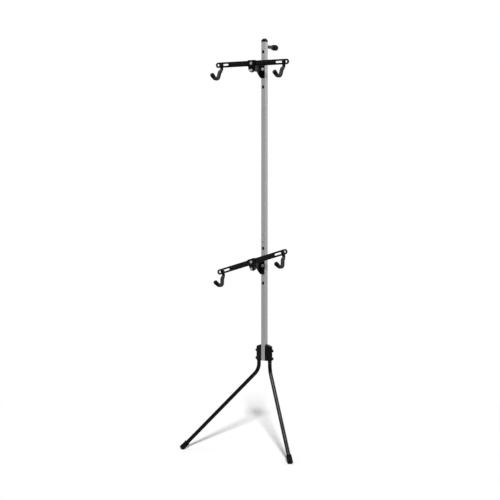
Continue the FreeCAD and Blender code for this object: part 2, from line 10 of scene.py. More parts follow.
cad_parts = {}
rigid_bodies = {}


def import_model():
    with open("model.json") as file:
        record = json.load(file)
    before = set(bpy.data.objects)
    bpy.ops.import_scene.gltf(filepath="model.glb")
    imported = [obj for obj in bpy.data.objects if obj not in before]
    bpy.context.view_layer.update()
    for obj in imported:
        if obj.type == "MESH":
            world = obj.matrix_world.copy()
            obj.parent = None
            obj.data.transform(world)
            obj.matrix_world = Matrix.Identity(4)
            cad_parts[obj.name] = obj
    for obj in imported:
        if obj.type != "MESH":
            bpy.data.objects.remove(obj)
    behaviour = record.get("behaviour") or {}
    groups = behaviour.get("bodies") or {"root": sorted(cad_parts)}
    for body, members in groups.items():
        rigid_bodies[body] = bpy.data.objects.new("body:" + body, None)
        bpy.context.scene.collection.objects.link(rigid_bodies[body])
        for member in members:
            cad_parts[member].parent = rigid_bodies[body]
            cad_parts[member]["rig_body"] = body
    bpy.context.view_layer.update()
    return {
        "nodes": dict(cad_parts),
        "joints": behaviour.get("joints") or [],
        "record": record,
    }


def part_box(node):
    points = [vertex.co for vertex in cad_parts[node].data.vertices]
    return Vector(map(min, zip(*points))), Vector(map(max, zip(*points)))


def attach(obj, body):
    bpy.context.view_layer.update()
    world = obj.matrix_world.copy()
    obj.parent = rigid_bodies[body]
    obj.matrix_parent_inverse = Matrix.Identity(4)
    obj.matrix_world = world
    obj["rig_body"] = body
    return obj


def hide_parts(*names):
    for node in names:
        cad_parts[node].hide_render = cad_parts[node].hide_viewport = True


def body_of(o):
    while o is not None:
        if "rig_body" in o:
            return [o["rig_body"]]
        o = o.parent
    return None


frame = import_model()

bl_info = {
    "name": "Floor-to-wall bike rack",
    "version": (1, 0, 0),
    "blender": (4, 5, 0),
    "location": "View3D > Sidebar > Bike rack",
    "description": "Finishes, rounded edges, feet, hook coats, welds and threads for the packed bike rack",
    "category": "Object",
}

# The rack stands on the floor at z = 0, with the wall on its +Y side. All sizes are in metres.

STAND = "stand"
ARMS = ("upper", "lower")
HANDS = ("left", "right")
HOOKS = [(arm, hand) for arm in ARMS for hand in HANDS]
SLOT_OF_NODE = {piece["node"]: piece["material_slot"] for piece in frame["record"]["subparts"]}

# The post's upright axis, and half of the width inside its tube
POST_AXIS = Vector((0.0, 0.0804, 0.0))
POST_INSIDE = 0.0117


# Settings that a user would change

def size_property(name, description, default):
    return FloatProperty(name=name, description=description, default=default, subtype="DISTANCE",
                         unit="LENGTH", precision=4)


def share_property(name, description, default):
    return FloatProperty(name=name, description=description, default=default, subtype="FACTOR",
                         min=0.0, max=1.0)


def number_property(name, description, default, unit="NONE", least=0.0):
    return FloatProperty(name=name, description=description, default=default, unit=unit, min=least)


def colour_property(name, description, default):
    return FloatVectorProperty(name=name, description=description, default=default, subtype="COLOR",
                               size=3, min=0.0, max=1.0)


class RackFinishSettings(bpy.types.PropertyGroup):
    """Colours of the rack's finishes."""

    silver: colour_property("Silver paint", "Satin silver paint on the post", (0.38, 0.38, 0.382))
    black_paint: colour_property("Black paint", "Powder coat on the legs, arms and hooks",
                                 (0.0016, 0.0016, 0.0018))
    plastic: colour_property("Plastic", "Moulded leg sockets and post cap", (0.002, 0.002, 0.0026))
    rubber: colour_property("Rubber", "Feet, wall bumper and hook tips", (0.0022, 0.0022, 0.0022))
    coating: colour_property("Hook coating", "Soft coating on the hooks", (0.014, 0.0172, 0.0165))
    zinc: colour_property("Zinc", "Plated bolts, nuts and screws", (0.34, 0.34, 0.34))
    # This colour is also the painted shade inside the post's tube.
    black_oxide_and_inside_shade: colour_property("Black oxide", "Blackened bolts and washers", (0.012, 0.012, 0.013))
    bare_steel: colour_property("Bare steel", "Steel that shows where an edge is worn", (0.42, 0.41, 0.40))
    dust: colour_property("Dust", "Fine dust that settles on rubber and paint", (0.22, 0.21, 0.19))


class RackHookSettings(bpy.types.PropertyGroup):
    """Sizes of the coated hooks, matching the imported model's."""

    rod_radius: size_property("Rod radius", "Radius of the hook's steel rod", 0.0055)
    coat_radius: size_property("Coat radius", "Outer radius of the soft coating", 0.010)
    lip_length: size_property("Lip length", "How far the coating's rounded ends reach", 0.0035)
    ring_step: size_property("Ring step", "Distance between the coating's rings of faces", 0.0006)
    ring_sides: IntProperty(name="Ring sides", description="Faces round the coating", default=32, min=8)


class RackThreadSettings(bpy.types.PropertyGroup):
    """Sizes of the threads that show past the nuts."""

    radius: size_property("Thread radius", "Radius of the bolt under its thread", 0.004)
    pitch: size_property("Pitch", "Distance between two turns of the thread", 0.00125)
    ridge: size_property("Ridge", "Size of the thread's ridge", 0.00045)
    turns: number_property("Turns", "Turns of thread that show", 2.8, least=1.0)


class RackFootSettings(bpy.types.PropertyGroup):
    """Sizes of the rubber feet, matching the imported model's."""

    radius: size_property("Radius", "Outer radius of a foot", 0.014)
    bore: size_property("Bore", "Radius of the hole that takes the leg", 0.0101)
    length: size_property("Length", "Length of a foot along its leg", 0.046)
    sole: size_property("Sole", "Thickness of rubber below the leg's end", 0.012)
    edge_radius: size_property("Edge radius", "Rounding of the sole's edge", 0.007)
    flat_depth: size_property("Flat depth", "How much of the sole is pressed flat", 0.003)
    lip_radius: size_property("Lip radius", "Rounding of the upper rim", 0.0012)
    rib_depth: size_property("Rib depth", "Depth of the hollows between the ribs", 0.001)
    rib_pitch: size_property("Rib pitch", "Distance between two hollows", 0.006)
    rib_count: IntProperty(name="Rib count", description="Hollows round a foot", default=3, min=0)
    sides: IntProperty(name="Sides", description="Faces round a foot", default=72, min=12)


class RackEdgeSettings(bpy.types.PropertyGroup):
    """Rounding of sharp edges."""

    moulded: size_property("Moulded edges", "Rounding of the moulded leg sockets", 0.0012)
    sheet: size_property("Sheet edges", "Rounding of the steel plates' edges", 0.0004)


class RackWeldSettings(bpy.types.PropertyGroup):
    """Sizes of the weld beads on the hooks."""

    bead: size_property("Bead", "Radius of one drop of a weld bead", 0.0013)
    step: size_property("Step", "Distance between two drops", 0.0011)


class RackStageSettings(bpy.types.PropertyGroup):
    """Floor and light round the rack."""

    floor_size: size_property("Floor size", "Side of the square floor", 24.0)
    floor_white: share_property("Floor white", "Brightness of the floor's own paint", 0.7)
    floor_shown: number_property("Floor shown", "Brightness of the floor as it is seen", 1.9)
    ambient: number_property("Ambient", "Strength of the light from all round", 0.2)
    room_dim: share_property("Room dim", "What a reflection sees on the camera's side of the room", 0.02)
    key_light: number_property("Key light", "Strength of the light past the camera", 2.75)
    key_spread: FloatProperty(name="Key spread", default=math.radians(5), subtype="ANGLE", unit="ROTATION",
                              description="Width of the key light, which softens its shadow")
    side_power: number_property("Side power", "Power of the lamp on the right", 24.0, "POWER")
    top_power: number_property("Top power", "Power of the lamp overhead", 120.0, "POWER")


# Nodes

class Signal:
    """One output in a node tree: arithmetic on it adds Math nodes."""

    def __init__(self, tree, socket):
        self.tree = tree
        self.socket = socket

    def maths(self, operation, *values):
        return self.tree.add("ShaderNodeMath", {"operation": operation}, dict(enumerate(values)))

    def __add__(self, other):
        return self.maths("ADD", self, other)

    def __sub__(self, other):
        return self.maths("SUBTRACT", self, other)

    def __rsub__(self, other):
        return self.maths("SUBTRACT", other, self)

    def __mul__(self, other):
        return self.maths("MULTIPLY", self, other)

    def __truediv__(self, other):
        return self.maths("DIVIDE", self, other)

    def __pow__(self, other):
        return self.maths("POWER", self, other)

    def unsigned(self):
        return self.maths("ABSOLUTE", self)

    def at_most(self, other):
        return self.maths("MINIMUM", self, other)

    def at_least(self, other):
        return self.maths("MAXIMUM", self, other)

    __radd__ = __add__
    __rmul__ = __mul__


class Tree:
    """A node tree that is written as expressions."""

    def __init__(self, tree):
        self.tree = tree

    def add(self, kind, settings=None, sockets=None, output=0):
        """Add a node: its settings first, then the values or links of its sockets."""
        node = self.tree.nodes.new(kind)
        for name, value in (settings or {}).items():
            setattr(node, name, value)
        for key, value in (sockets or {}).items():
            if isinstance(value, Signal):
                self.tree.links.new(value.socket, node.inputs[key])
            else:
                node.inputs[key].default_value = value
        return Signal(self, node.outputs[output]) if len(node.outputs) else None

    def outputs_of(self, signal, names):
        """Several outputs of the node that a signal comes from."""
        return [Signal(self, signal.socket.node.outputs[name]) for name in names]


# Samples of the edge rounding, and the lean of its normal where an edge begins and where it is full
EDGE_SAMPLES = 6
EDGE_START = 0.02
EDGE_FULL = 0.16


class Finish(Tree):
    """The node tree of one material or of the world."""

    def __init__(self, owner):
        owner.use_nodes = True
        super().__init__(owner.node_tree)
        self.tree.nodes.clear()
        self.owner = owner
        self.place = self.add("ShaderNodeTexCoord", output="Object")

    def stretched(self, scale):
        return self.add("ShaderNodeMapping", None, {"Vector": self.place, "Scale": scale})

    def noise(self, scale, detail=2.0, place=None):
        """Smooth noise from about 0 to 1."""
        sockets = {"Vector": place or self.place, "Scale": scale, "Detail": detail}
        return self.add("ShaderNodeTexNoise", None, sockets)

    def cells(self, scale):
        """One grey from 0 to 1 for each small cell."""
        colour = self.add("ShaderNodeTexVoronoi", None, {"Vector": self.place, "Scale": scale}, "Color")
        return self.add("ShaderNodeSeparateXYZ", None, {0: colour}, "X")

    def ramp(self, value, low, high):
        """0 below low and 1 above high, smooth between them."""
        settings = {"interpolation_type": "SMOOTHSTEP"}
        return self.add("ShaderNodeMapRange", settings, {0: value, 1: low, 2: high})

    def height(self):
        return self.add("ShaderNodeSeparateXYZ", None, {0: self.place}, "Z")

    def off_axis(self, axis):
        """How far a point is from an upright axis, measured square to its tube's sides."""
        from_axis = self.add("ShaderNodeVectorMath", {"operation": "SUBTRACT"}, {0: self.place, 1: axis})
        split = self.add("ShaderNodeSeparateXYZ", None, {0: from_axis})
        across, deep = self.outputs_of(split, "XY")
        return across.unsigned().at_least(deep.unsigned())

    def mix(self, share, first, second):
        """The first colour where share is 0 and the second where it is 1."""
        return self.add("ShaderNodeMix", {"data_type": "RGBA"}, {0: share, 6: first, 7: second}, 2)

    def shaded(self, colour, brightness):
        """A colour made lighter or darker by a varying brightness about 1."""
        sockets = {0: colour[:3], 3: brightness}
        return self.add("ShaderNodeVectorMath", {"operation": "SCALE"}, sockets)

    def soft_normal(self, radius):
        """The surface's direction with its edges rounded over."""
        return self.add("ShaderNodeBevel", {"samples": EDGE_SAMPLES}, {"Radius": radius})

    def edge(self, rounded):
        """1 along sharp edges and 0 on open faces."""
        true_normal = self.add("ShaderNodeNewGeometry", output="Normal")
        sockets = {0: rounded, 1: true_normal}
        likeness = self.add("ShaderNodeVectorMath", {"operation": "DOT_PRODUCT"}, sockets, "Value")
        return self.ramp(1 - likeness, EDGE_START, EDGE_FULL)

    def bump(self, height, depth, normal):
        return self.add("ShaderNodeBump", None, {"Distance": depth, "Height": height, "Normal": normal})

    def finish(self, **sockets):
        """Close the material with a Principled shader that takes the given sockets."""
        named = {name.replace("_", " ").title(): value for name, value in sockets.items()}
        if "Specular" in named:
            named["Specular IOR Level"] = named.pop("Specular")
        shader = self.add("ShaderNodeBsdfPrincipled", None, named)
        self.add("ShaderNodeOutputMaterial", None, {"Surface": shader})
        return self.owner


def new_material(name):
    return bpy.data.materials.new(name)


def opaque(colour):
    return (*colour, 1.0)


# Finishes

# How far into the post's wall its painted shade inside fades, and the heights between which floor dust thins
# out
INSIDE_SHADE_BLEND = 0.0006
DUST_FULL = 0.002
DUST_END = 0.026


def silver_paint(colours):
    """Satin silver paint on a drawn tube: fine flake, faint streaks along it, and painted shade inside,
    where the tube's inside is painted near-black so that its holes read dark.
    """
    paint = Finish(new_material("silver_paint_finish"))
    flake = paint.cells(scale=1500)
    streaks = paint.noise(scale=1, detail=3, place=paint.stretched((260, 260, 2.5)))
    clouds = paint.noise(scale=7, detail=3)
    rounded = paint.soft_normal(radius=0.0009)
    brightness = 0.9 + flake * 0.05 + streaks * 0.08 + clouds * 0.06
    # Painted shade: the tube's inside is painted near-black, duller and not metallic, so that its holes read
    # dark.
    inside = 1 - paint.ramp(paint.off_axis(POST_AXIS), low=POST_INSIDE, high=POST_INSIDE + INSIDE_SHADE_BLEND)
    colour = paint.mix(inside, paint.shaded(colours.silver, brightness), opaque(colours.black_oxide_and_inside_shade))
    peel = paint.bump(paint.noise(scale=420), depth=0.00003, normal=rounded)
    return paint.finish(base_color=colour, metallic=(0.27 + flake * 0.06) * (1 - inside),
                        roughness=0.36 + clouds * 0.08 + inside * 0.3, normal=peel)


def black_paint(colours):
    """Semi-gloss black powder coat: orange peel, a little settled dust, edges faintly rubbed."""
    paint = Finish(new_material("black_paint_finish"))
    peel = paint.noise(scale=330)
    clouds = paint.noise(scale=9, detail=4)
    rounded = paint.soft_normal(radius=0.0006)
    rubbed = paint.edge(rounded) * paint.ramp(paint.noise(scale=70, detail=3), low=0.5, high=0.75)
    specks = paint.ramp(paint.cells(scale=700), low=0.985, high=1.0)
    brightness = 0.7 + clouds * 0.6
    dusty = paint.mix(specks * 0.06, paint.shaded(colours.black_paint, brightness), opaque(colours.dust))
    colour = paint.mix(rubbed * 0.03, dusty, opaque(colours.bare_steel))
    return paint.finish(base_color=colour, roughness=0.26 + clouds * 0.1 + rubbed * 0.1, specular=0.42,
                        normal=paint.bump(peel, depth=0.00004, normal=rounded))


def black_plastic(colours):
    """Moulded black plastic with a fine spark grain, shinier where its edges are handled."""
    paint = Finish(new_material("black_plastic_finish"))
    grain = paint.cells(scale=1100)
    clouds = paint.noise(scale=24, detail=3)
    rounded = paint.soft_normal(radius=0.0014)
    edges = paint.edge(rounded)
    colour = paint.shaded(colours.plastic, 0.75 + clouds * 0.5 + edges * 0.5)
    return paint.finish(base_color=colour, roughness=0.42 - edges * 0.1 + clouds * 0.08, specular=0.22,
                        normal=paint.bump(grain, depth=0.00004, normal=rounded))


def black_rubber(colours):
    """Matte rubber, dusty near the floor and faintly mottled."""
    paint = Finish(new_material("black_rubber_finish"))
    mottle = paint.noise(scale=60, detail=4)
    grain = paint.noise(scale=900)
    rounded = paint.soft_normal(radius=0.001)
    near_floor = 1 - paint.ramp(paint.height(), low=DUST_FULL, high=DUST_END)
    dust = near_floor * paint.ramp(paint.noise(scale=130, detail=4), low=0.4, high=0.75)
    colour = paint.mix(dust * 0.12, paint.shaded(colours.rubber, 0.7 + mottle * 0.6), opaque(colours.dust))
    return paint.finish(base_color=colour, roughness=0.5 + mottle * 0.16, specular=0.15,
                        normal=paint.bump(grain, depth=0.00005, normal=rounded))


def hook_coating(colours):
    """Soft dipped coating: dull, finely pebbled, with slow changes of tone along it."""
    paint = Finish(new_material("hook_coating_finish"))
    pebble = paint.noise(scale=620)
    slow = paint.noise(scale=34, detail=3)
    rounded = paint.soft_normal(radius=0.0008)
    rubs = paint.noise(scale=1, detail=4, place=paint.stretched((90, 90, 320)))
    scuff = paint.ramp(rubs, low=0.62, high=0.8)
    tone = paint.shaded(colours.coating, 0.8 + slow * 0.34 + pebble * 0.12)
    colour = paint.mix(scuff * 0.05, tone, opaque(colours.dust))
    return paint.finish(base_color=colour, roughness=0.56 + slow * 0.14, specular=0.3,
                        normal=paint.bump(pebble + slow * 0.5, depth=0.00008, normal=rounded))


def zinc_steel(colours):
    """Dull zinc plating: fine turning marks, slow tint changes and brighter edges."""
    paint = Finish(new_material("zinc_steel_finish"))
    tint = paint.noise(scale=150, detail=3)
    marks = paint.noise(scale=1, place=paint.stretched((400, 2600, 2600)))
    rounded = paint.soft_normal(radius=0.0005)
    edges = paint.edge(rounded)
    colour = paint.shaded(colours.zinc, 0.8 + tint * 0.4 + edges * 0.3)
    return paint.finish(base_color=colour, metallic=0.3, roughness=0.34 + tint * 0.14 + marks * 0.06,
                        normal=paint.bump(marks, depth=0.00002, normal=rounded))


def black_steel(colours):
    """Black oxide on bolts and washers, oily and a little brighter on its edges."""
    paint = Finish(new_material("black_steel_finish"))
    mottle = paint.noise(scale=260, detail=3)
    rounded = paint.soft_normal(radius=0.0005)
    edges = paint.edge(rounded)
    tone = paint.shaded(colours.black_oxide_and_inside_shade, 0.8 + mottle * 0.4)
    colour = paint.mix(edges * 0.05, tone, opaque(colours.bare_steel))
    return paint.finish(base_color=colour, metallic=0.5, roughness=0.36 + mottle * 0.12, specular=0.2,
                        normal=paint.bump(mottle, depth=0.00002, normal=rounded))


FINISHES = {
    "silver_paint": silver_paint,
    "black_paint": black_paint,
    "black_plastic": black_plastic,
    "black_rubber": black_rubber,
    "hook_coating": hook_coating,
    "zinc_steel": zinc_steel,
    "black_steel": black_steel,
}


def finish_of(slot):
    """The finish of a material slot, made once."""
    made = bpy.data.materials.get(slot + "_finish")
    return made or FINISHES[slot](bpy.context.scene.rack_finishes)


# Shared shape helpers

SHARP_ANGLE = math.radians(40)


def add_piece(name, mesh):
    piece = bpy.data.objects.new(name, mesh)
    bpy.context.scene.collection.objects.link(piece)
    return piece


def kept(piece):
    """Keep what a piece's modifiers make as its plain mesh."""
    depsgraph = bpy.context.evaluated_depsgraph_get()
    mesh = bpy.data.meshes.new_from_object(piece.evaluated_get(depsgraph))
    piece.modifiers.clear()
    piece.data = mesh
    mesh.name = piece.name
    return piece


def made_solid(piece, group, values):
    """Run a geometry tree on a piece and keep its result."""
    modifier = piece.modifiers.new("shape", "NODES")
    modifier.node_group = group
    for socket in group.interface.items_tree:
        if socket.in_out == "INPUT" and socket.name in values:
            modifier[socket.identifier] = values[socket.name]
    return kept(piece)


def joined(piece, body, slot, *replaced):
    """Let a finished piece ride on its body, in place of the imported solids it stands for."""
    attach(piece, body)
    if replaced:
        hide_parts(*replaced)


class Shape(Tree):
    """A geometry tree with named inputs."""

    def __init__(self, name, inputs):
        super().__init__(bpy.data.node_groups.new(name, "GeometryNodeTree"))
        self.tree.interface.new_socket("Geometry", in_out="OUTPUT", socket_type="NodeSocketGeometry")
        for label, kind in inputs.items():
            self.tree.interface.new_socket(label, in_out="INPUT", socket_type=kind)
        self.entry = self.tree.nodes.new("NodeGroupInput")

    def given(self, label):
        return Signal(self, self.entry.outputs[label])

    def stored(self, label, kind):
        return self.add("GeometryNodeInputNamedAttribute", {"data_type": kind}, {"Name": label})

    def close(self, geometry):
        """End the tree: smooth faces, real geometry and its finish."""
        smooth = self.add("GeometryNodeSetShadeSmooth", None, {"Geometry": geometry})
        real = self.add("GeometryNodeRealizeInstances", None, {"Geometry": smooth})
        painted = self.add("GeometryNodeSetMaterial", None,
                           {"Geometry": real, "Material": self.given("Finish")})
        self.add("NodeGroupOutput", None, {"Geometry": painted})
        return self.tree


def solids_of(node):
    """The box of each separate solid in a CAD node, as (lowest, highest) corners."""
    mesh = frame["nodes"][node].data
    points = np.empty(len(mesh.vertices) * 3)
    mesh.vertices.foreach_get("co", points)
    points = points.reshape(-1, 3)
    corners = np.empty(len(mesh.loops), int)
    mesh.loops.foreach_get("vertex_index", corners)
    _, merged = np.unique(np.round(points, 6), axis=0, return_inverse=True)
    merged = merged.ravel()
    faces = merged[corners].reshape(-1, 3)
    group = np.arange(merged.max() + 1)
    while True:
        lowest = group[faces].min(axis=1)
        spread = group.copy()
        for corner in range(3):
            np.minimum.at(spread, faces[:, corner], lowest)
        if (spread == group).all():
            break
        group = spread
    of_point = group[merged]
    boxes = []
    for label in np.unique(of_point):
        chosen = points[of_point == label]
        boxes.append((Vector(chosen.min(axis=0)), Vector(chosen.max(axis=0))))
    return boxes


# Coated hooks

HOOK_ROUTE = (
    (0.0, -0.01985),
    (0.0, -0.02585),
    (0.017, -0.03685),
    (0.031, -0.07085),
    (0.061, -0.07085),
    (0.084, -0.05135),
)
COAT_BENDS = (0.012, 0.015, 0.015)
BARE_NECK = 0.006
TIP_CAP_LENGTH = 0.016
TAB_THICKNESS = 0.004
BEND_STEPS = 16
LIP_ON_ROD = 0.98


def carrier(arm, hand):
    return f"{arm}_{hand}_carrier"


def hook_place(arm, hand):
    """The hook's own frame: across the bar, towards the room and up, about its bolt at the rod's plane."""
    slide = next(joint for joint in frame["joints"] if joint["child"] == carrier(arm, hand))
    across = Vector(slide["axis"])
    if across.x < 0:
        across = -across
    room = Vector((0, -1, 0))
    up = room.cross(across)
    low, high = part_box(f"{arm}_{hand}_hook_nut")
    centre = (low + high) / 2
    centre.y = low.y - TAB_THICKNESS / 2
    columns = Matrix((across, room, up)).transposed().to_4x4()
    return Matrix.Translation(centre) @ columns


def towards(start, end, distance):
    return start + (end - start).normalized() * distance


def coat_route():
    """The coating's run on the rod, from below the bare neck to the tip cap."""
    points = [Vector((0, forward, height)) for forward, height in HOOK_ROUTE]
    neck, jog, shank, floor, tip = points[1:]
    start = towards(neck, jog, BARE_NECK)
    end = towards(tip, floor, TIP_CAP_LENGTH)
    return [start, jog, shank, floor, end]


def route_mesh(name, points, bends):
    """A line of points that carries the bend radius of each point."""
    mesh = bpy.data.meshes.new(name)
    mesh.from_pydata(points, [(step, step + 1) for step in range(len(points) - 1)], [])
    stored = mesh.attributes.new("bend", "FLOAT", "POINT")
    stored.data.foreach_set("value", [0.0, *bends, 0.0])
    return mesh


def coat_shape():
    """Sweep a round coat along a bent route, closing onto the rod at both ends."""
    shape = Shape("coat_shape", {
        "Route": "NodeSocketGeometry",
        "Rod radius": "NodeSocketFloat",
        "Coat radius": "NodeSocketFloat",
        "Lip length": "NodeSocketFloat",
        "Ring step": "NodeSocketFloat",
        "Ring sides": "NodeSocketInt",
        "Finish": "NodeSocketMaterial",
    })
    line = shape.add("GeometryNodeMeshToCurve", None, {"Mesh": shape.given("Route")})
    bends = {"Curve": line, "Count": BEND_STEPS, "Radius": shape.stored("bend", "FLOAT")}
    bent = shape.add("GeometryNodeFilletCurve", {"mode": "POLY"}, bends)
    even = shape.add("GeometryNodeResampleCurve", {"mode": "LENGTH"},
                     {"Curve": bent, "Length": shape.given("Ring step")})
    along = shape.add("GeometryNodeSplineParameter", output="Length")
    whole = shape.add("GeometryNodeSplineLength", output="Length")
    from_end = along.at_most(whole - along)
    short = 1 - (from_end / shape.given("Lip length")).at_most(1)
    roundness = (1 - short * short).at_least(0) ** 0.5
    rod = shape.given("Rod radius") * LIP_ON_ROD
    radius = rod + (shape.given("Coat radius") - rod) * roundness
    ring = shape.add("GeometryNodeCurvePrimitiveCircle", None,
                     {"Resolution": shape.given("Ring sides"), "Radius": 1.0})
    swept = shape.add("GeometryNodeCurveToMesh", None,
                      {"Curve": even, "Profile Curve": ring, "Scale": radius, "Fill Caps": True})
    return shape.close(swept)


class RACK_OT_hook_coats(bpy.types.Operator):
    """Sweep the soft coating along each hook."""

    bl_idname = "rack.hook_coats"
    bl_label = "Coat the hooks"

    def execute(self, context):
        hooks = context.scene.rack_hooks
        group = coat_shape()
        values = {
            "Rod radius": hooks.rod_radius,
            "Coat radius": hooks.coat_radius,
            "Lip length": hooks.lip_length,
            "Ring step": hooks.ring_step,
            "Ring sides": hooks.ring_sides,
            "Finish": finish_of("hook_coating"),
        }
        for arm, hand in HOOKS:
            place = hook_place(arm, hand)
            points = [place @ point for point in coat_route()]
            name = f"{arm}_{hand}_hook_coat"
            coat = made_solid(add_piece(name, route_mesh(name, points, COAT_BENDS)), group, values)
            joined(coat, carrier(arm, hand), "hook_coating", f"{arm}_{hand}_hook_sleeve")
        return {"FINISHED"}


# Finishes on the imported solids

class RACK_OT_finishes(bpy.types.Operator):
    """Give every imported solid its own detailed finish."""

    bl_idname = "rack.finishes"
    bl_label = "Paint the rack"

    def execute(self, context):
        for node, solid in frame["nodes"].items():
            solid.data.materials.clear()
            solid.data.materials.append(finish_of(SLOT_OF_NODE[node]))
        return {"FINISHED"}


# Threads past the nuts

NUTS_ON_STAND = ("bracket_nuts", "clamp_nuts")
NUT_AXIS = Vector((0, 1, 0))
TURN_STEPS = 20
RIDGE_SIDES = 4


def thread_shape():
    """Stand one helical ridge on each point, along the axis stored with it."""
    shape = Shape("thread_shape", {
        "Ends": "NodeSocketGeometry",
        "Radius": "NodeSocketFloat",
        "Pitch": "NodeSocketFloat",
        "Ridge": "NodeSocketFloat",
        "Turns": "NodeSocketFloat",
        "Finish": "NodeSocketMaterial",
    })
    turns = shape.given("Turns")
    radius = shape.given("Radius")
    helix = shape.add("GeometryNodeCurveSpiral", None, {
        "Resolution": TURN_STEPS,
        "Rotations": turns,
        "Start Radius": radius,
        "End Radius": radius,
        "Height": shape.given("Pitch") * turns,
    })
    wedge = shape.add("GeometryNodeCurvePrimitiveCircle", None,
                      {"Resolution": RIDGE_SIDES, "Radius": shape.given("Ridge")})
    ridge = shape.add("GeometryNodeCurveToMesh", None,
                      {"Curve": helix, "Profile Curve": wedge, "Fill Caps": True})
    turned = shape.add("FunctionNodeAlignRotationToVector", {"axis": "Z"},
                       {"Vector": shape.stored("axis", "FLOAT_VECTOR")})
    threads = shape.add("GeometryNodeInstanceOnPoints", None,
                        {"Points": shape.given("Ends"), "Instance": ridge, "Rotation": turned})
    return shape.close(threads)


def thread_starts(nut_node):
    """Where a bolt comes out of each nut of a node."""
    starts = []
    for low, high in solids_of(nut_node):
        centre = (low + high) / 2
        half = (high - low) / 2
        starts.append(centre + NUT_AXIS * half.dot(NUT_AXIS))
    return starts


def ends_mesh(name, nuts):
    """A point and an axis for each bolt that comes out of these nuts."""
    starts = [start for node in nuts for start in thread_starts(node)]
    mesh = bpy.data.meshes.new(name)
    mesh.from_pydata(starts, [], [])
    stored = mesh.attributes.new("axis", "FLOAT_VECTOR", "POINT")
    stored.data.foreach_set("vector", [*NUT_AXIS] * len(starts))
    return mesh


class RACK_OT_threads(bpy.types.Operator):
    """Cut the threads that show past the nuts."""

    bl_idname = "rack.threads"
    bl_label = "Cut the threads"

    def execute(self, context):
        threads = context.scene.rack_threads
        group = thread_shape()
        sizes = {
            "Radius": threads.radius,
            "Pitch": threads.pitch,
            "Ridge": threads.ridge,
            "Turns": threads.turns,
        }
        sets = {"stand_bolt_threads": (STAND, NUTS_ON_STAND, "zinc_steel")}
        for arm, hand in HOOKS:
            nuts = [f"{arm}_{hand}_hook_nut"]
            sets[f"{arm}_{hand}_hook_bolt_thread"] = (carrier(arm, hand), nuts, "black_steel")
        for name, (body, nuts, slot) in sets.items():
            values = {**sizes, "Finish": finish_of(slot)}
            piece = made_solid(add_piece(name, ends_mesh(name, nuts)), group, values)
            joined(piece, body, slot)
        return {"FINISHED"}


# Weld beads that hold each hook's rod to its tab

ROD_END_HEIGHT = -0.01985
WELD_END_HEIGHT = -0.0262
WELD_RADIUS = 0.0052
WELD_ARC_STEPS = 12
DROP_DETAIL = 3


def weld_route(side):
    """Up one flank of the rod, over its end and down the other flank, on one face of the tab."""
    forward = side * TAB_THICKNESS / 2
    points = [Vector((-WELD_RADIUS, forward, WELD_END_HEIGHT))]
    for step in range(WELD_ARC_STEPS + 1):
        turn = math.pi * (1 - step / WELD_ARC_STEPS)
        rise = ROD_END_HEIGHT + WELD_RADIUS * math.sin(turn)
        points.append(Vector((WELD_RADIUS * math.cos(turn), forward, rise)))
    points.append(Vector((WELD_RADIUS, forward, WELD_END_HEIGHT)))
    return points


def weld_mesh(name, place):
    """The routes of the beads on both faces of a tab."""
    points = []
    edges = []
    for side in (1, -1):
        route = [place @ point for point in weld_route(side)]
        edges += [(len(points) + step, len(points) + step + 1) for step in range(len(route) - 1)]
        points += route
    mesh = bpy.data.meshes.new(name)
    mesh.from_pydata(points, edges, [])
    return mesh


def weld_shape():
    """Lay overlapping drops along a route."""
    shape = Shape("weld_shape", {
        "Route": "NodeSocketGeometry",
        "Bead": "NodeSocketFloat",
        "Step": "NodeSocketFloat",
        "Finish": "NodeSocketMaterial",
    })
    line = shape.add("GeometryNodeMeshToCurve", None, {"Mesh": shape.given("Route")})
    spaced = shape.add("GeometryNodeResampleCurve", {"mode": "LENGTH"},
                       {"Curve": line, "Length": shape.given("Step")})
    drop = shape.add("GeometryNodeMeshIcoSphere", None,
                     {"Radius": shape.given("Bead"), "Subdivisions": DROP_DETAIL})
    beads = shape.add("GeometryNodeInstanceOnPoints", None, {"Points": spaced, "Instance": drop})
    return shape.close(beads)


class RACK_OT_welds(bpy.types.Operator):
    """Lay the weld beads between each hook's rod and its tab."""

    bl_idname = "rack.welds"
    bl_label = "Weld the hooks"

    def execute(self, context):
        welds = context.scene.rack_welds
        group = weld_shape()
        values = {"Bead": welds.bead, "Step": welds.step, "Finish": finish_of("black_paint")}
        for arm, hand in HOOKS:
            name = f"{arm}_{hand}_hook_weld"
            bead = made_solid(add_piece(name, weld_mesh(name, hook_place(arm, hand))), group, values)
            joined(bead, carrier(arm, hand), "black_paint")
        return {"FINISHED"}


# Rubber feet

LEG_CORNER = Vector((0.034, 0.0, 0.410))
FOOT_POINT = Vector((0.342, -0.264, 0.0))
ARC_STEPS = 10
FLANK_STEPS = 120

# In rib pitches: where the ribbing starts below the rim, and where each hollow is deepest past a whole pitch
RIB_START = 0.75
RIB_SHIFT = 0.25


def arc_points(centre, radius, start, end):
    """Points on an arc of the outline, between two angles in degrees."""
    turns = [math.radians(start + (end - start) * step / ARC_STEPS) for step in range(ARC_STEPS + 1)]
    return [(centre[0] + radius * math.cos(turn), centre[1] + radius * math.sin(turn)) for turn in turns]


def rib_points(foot):
    """The foot's flank, with a soft hollow below each rib."""
    low = foot.edge_radius
    high = foot.length - foot.lip_radius
    points = []
    for step in range(1, FLANK_STEPS):
        height = low + (high - low) * step / FLANK_STEPS
        below_rim = (foot.length - height) / foot.rib_pitch
        ribbed = RIB_START < below_rim < foot.rib_count + RIB_START
        hollow = math.cos(math.pi * (below_rim - RIB_SHIFT)) ** 4 if ribbed else 0.0
        points.append((foot.radius - foot.rib_depth * hollow, height))
    return points


